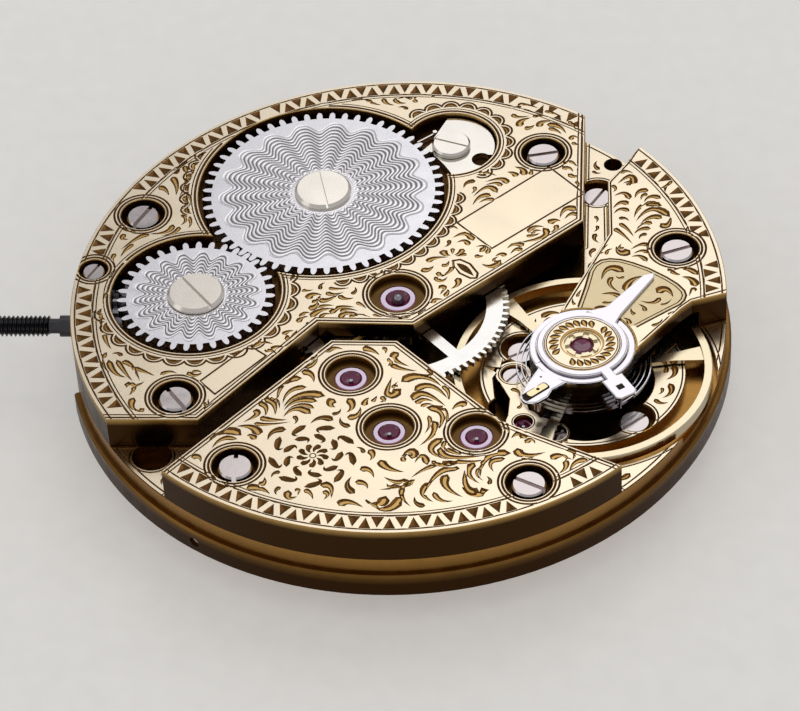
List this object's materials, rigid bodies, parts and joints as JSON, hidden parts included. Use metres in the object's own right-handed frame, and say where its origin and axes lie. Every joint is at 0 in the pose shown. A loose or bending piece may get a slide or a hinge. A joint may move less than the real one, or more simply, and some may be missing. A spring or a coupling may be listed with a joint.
{
  "type": "watch movement",
  "caption": "Round hand-wound watch movement with engraved bridges, ratchet and crown wheels, lever escapement, balance with regulator, and winding stem.",
  "frame": {"origin": "on the axis of the centre wheel, on the face that the dial rests on", "axes": "+Z towards the bridges, away from the dial; the winding stem points along -X; +Y towards the barrel"},
  "size_m": [0.0463, 0.0366, 0.0066],
  "materials": {
    "plate": "satin gilt",
    "bridge": "engraved gilt",
    "steel": "polished steel",
    "screw": "polished steel",
    "pale_steel": "polished steel",
    "wheel_steel": "wavy guilloche on steel",
    "brass": "polished brass",
    "gilt": "gilt",
    "nickel": "nickel finish",
    "spring": "tempered steel",
    "ruby": "polished ruby"
  },
  "bodies": {
    "movement": {"main_plate": "plate", "barrel_bridge": "bridge", "train_bridge": "bridge", "balance_cock": "bridge", "pallet_bridge": "plate", "bridge_screws": "screw", "small_screws": "screw", "upper_train_jewels": "ruby", "lower_train_jewels": "ruby", "centre_jewels": "ruby", "pallet_jewels": "ruby", "shock_settings": "gilt", "balance_hole_jewels": "ruby", "cap_jewels": "ruby", "click_screw": "pale_steel", "click_spring": "pale_steel", "crown_core": "steel", "crown_screw": "pale_steel", "setting_cover": "steel", "cover_screws": "screw", "yoke_spring": "spring", "dial_screws": "screw"},
    "barrel": {"barrel_drum": "brass", "barrel_cover": "brass", "mainspring": "spring"},
    "ratchet": {"barrel_arbor": "steel", "ratchet_wheel": "wheel_steel", "ratchet_screw": "pale_steel"},
    "crown": {"crown_wheel": "wheel_steel"},
    "winding": {"winding_pinion": "steel"},
    "stem": {"stem": "steel"},
    "sliding": {"sliding_pinion": "steel"},
    "setting_lever": {"setting_lever": "steel"},
    "yoke": {"yoke": "steel"},
    "click": {"click": "pale_steel"},
    "centre": {"centre_wheel": "nickel", "centre_arbor": "steel", "cannon_pinion": "steel"},
    "third": {"third_wheel": "brass", "third_arbor": "steel"},
    "fourth": {"fourth_wheel": "brass", "fourth_arbor": "steel"},
    "escape": {"escape_wheel": "steel", "escape_arbor": "steel"},
    "pallets": {"pallet_fork": "steel", "pallet_arbor": "steel", "pallet_stones": "ruby"},
    "balance": {"balance_wheel": "gilt", "balance_staff": "steel", "roller": "steel", "impulse_jewel": "ruby", "collet": "gilt"},
    "stud_carrier": {"stud_carrier": "pale_steel", "stud": "steel", "hairspring": "spring"},
    "regulator": {"regulator": "pale_steel"},
    "hour_wheel": {"hour_wheel": "brass"},
    "minute_wheel": {"minute_wheel": "brass"},
    "first_setting_wheel": {"first_setting_wheel": "steel"},
    "second_setting_wheel": {"second_setting_wheel": "steel"}
  },
  "joints": [
    {"name": "third_turn", "type": "hinge", "parent": "movement", "child": "third", "pos_m": [-0.00225, -0.00627, 0.0015], "axis": [0, 0, 1], "continuous": true},
    {"name": "centre_turn", "type": "hinge", "parent": "movement", "child": "centre", "pos_m": [0, 0, 0.002], "axis": [0, 0, 1], "continuous": true},
    {"name": "barrel_turn", "type": "hinge", "parent": "movement", "child": "barrel", "pos_m": [-0.00461, 0.00853, 0.002], "axis": [0, 0, 1], "continuous": true},
    {"name": "fourth_turn", "type": "hinge", "parent": "movement", "child": "fourth", "pos_m": [0.00001, -0.0103, 0.002], "axis": [0, 0, 1], "continuous": true},
    {"name": "escape_turn", "type": "hinge", "parent": "movement", "child": "escape", "pos_m": [0.00465, -0.01065, 0.0014], "axis": [0, 0, 1], "continuous": true},
    {"name": "minute_wheel_turn", "type": "hinge", "parent": "movement", "child": "minute_wheel", "pos_m": [-0.00338, -0.00123, 0.0004], "axis": [0, 0, 1], "continuous": true},
    {"name": "hour_wheel_turn", "type": "hinge", "parent": "movement", "child": "hour_wheel", "pos_m": [0, 0, 0.0001], "axis": [0, 0, 1], "continuous": true},
    {"name": "second_setting_turn", "type": "hinge", "parent": "movement", "child": "second_setting_wheel", "pos_m": [-0.00737, -0.00193, 0.0004], "axis": [0, 0, 1], "continuous": true},
    {"name": "first_setting_turn", "type": "hinge", "parent": "movement", "child": "first_setting_wheel", "pos_m": [-0.00918, 0.00007, 0.0004], "axis": [0, 0, 1], "continuous": true},
    {"name": "ratchet_turn", "type": "hinge", "parent": "movement", "child": "ratchet", "pos_m": [-0.00461, 0.00853, 0.004], "axis": [0, 0, 1], "continuous": true},
    {"name": "crown_turn", "type": "hinge", "parent": "movement", "child": "crown", "pos_m": [-0.01113, 0, 0.004], "axis": [0, 0, 1], "continuous": true},
    {"name": "winding_turn", "type": "hinge", "parent": "movement", "child": "winding", "pos_m": [-0.01498, 0, 0.00205], "axis": [1, 0, 0], "continuous": true},
    {"name": "stem_pull", "type": "slide", "parent": "winding", "child": "stem", "axis": [-1, 0, 0], "range_m": [0, 0.00085]},
    {"name": "sliding_pinion_slide", "type": "slide", "parent": "winding", "child": "sliding", "axis": [1, 0, 0], "range_m": [0, 0.00086]},
    {"name": "setting_lever_turn", "type": "hinge", "parent": "movement", "child": "setting_lever", "pos_m": [-0.01655, -0.0033, 0.0004], "axis": [0, 0, 1], "range_deg": [0, 14.78]},
    {"name": "yoke_turn", "type": "hinge", "parent": "movement", "child": "yoke", "pos_m": [-0.01226, -0.0042, 0.0004], "axis": [0, 0, 1], "range_deg": [-11.66, 0]},
    {"name": "click_turn", "type": "hinge", "parent": "movement", "child": "click", "pos_m": [0.0025, 0.0125, 0.004], "axis": [0, 0, 1], "range_deg": [-12, 0], "stiffness_Nm_per_rad": 0.000005, "springref_deg": 11.46},
    {"name": "balance_swing", "type": "hinge", "parent": "movement", "child": "balance", "pos_m": [0.01016, -0.00415, 0.0027], "axis": [0, 0, 1], "range_deg": [-270, 270], "stiffness_Nm_per_rad": 0.0000012},
    {"name": "pallet_swing", "type": "hinge", "parent": "movement", "child": "pallets", "pos_m": [0.00702, -0.00785, 0.0014], "axis": [0, 0, 1], "range_deg": [-5, 5]},
    {"name": "regulator_turn", "type": "hinge", "parent": "movement", "child": "regulator", "pos_m": [0.01016, -0.00415, 0.0046], "axis": [0, 0, 1], "range_deg": [-10, 10]},
    {"name": "stud_carrier_turn", "type": "hinge", "parent": "movement", "child": "stud_carrier", "pos_m": [0.01016, -0.00415, 0.0044], "axis": [0, 0, 1], "range_deg": [-6, 6]}
  ],
  "couplings": [
    {"joint": "centre_turn", "follows": "third_turn", "ratio": -0.125},
    {"joint": "barrel_turn", "follows": "third_turn", "ratio": 0.027778},
    {"joint": "fourth_turn", "follows": "third_turn", "ratio": -7.5},
    {"joint": "escape_turn", "follows": "third_turn", "ratio": 75},
    {"joint": "minute_wheel_turn", "follows": "third_turn", "ratio": 0.041667},
    {"joint": "hour_wheel_turn", "follows": "third_turn", "ratio": -0.010417},
    {"joint": "second_setting_turn", "follows": "third_turn", "ratio": -0.083333},
    {"joint": "first_setting_turn", "follows": "third_turn", "ratio": 0.083333},
    {"joint": "crown_turn", "follows": "ratchet_turn", "ratio": -1.6},
    {"joint": "winding_turn", "follows": "ratchet_turn", "ratio": -3.5},
    {"joint": "sliding_pinion_slide", "follows": "stem_pull", "ratio": 1},
    {"joint": "setting_lever_turn", "follows": "stem_pull", "rad_per_m": 301.37},
    {"joint": "yoke_turn", "follows": "stem_pull", "rad_per_m": -237.29}
  ]
}
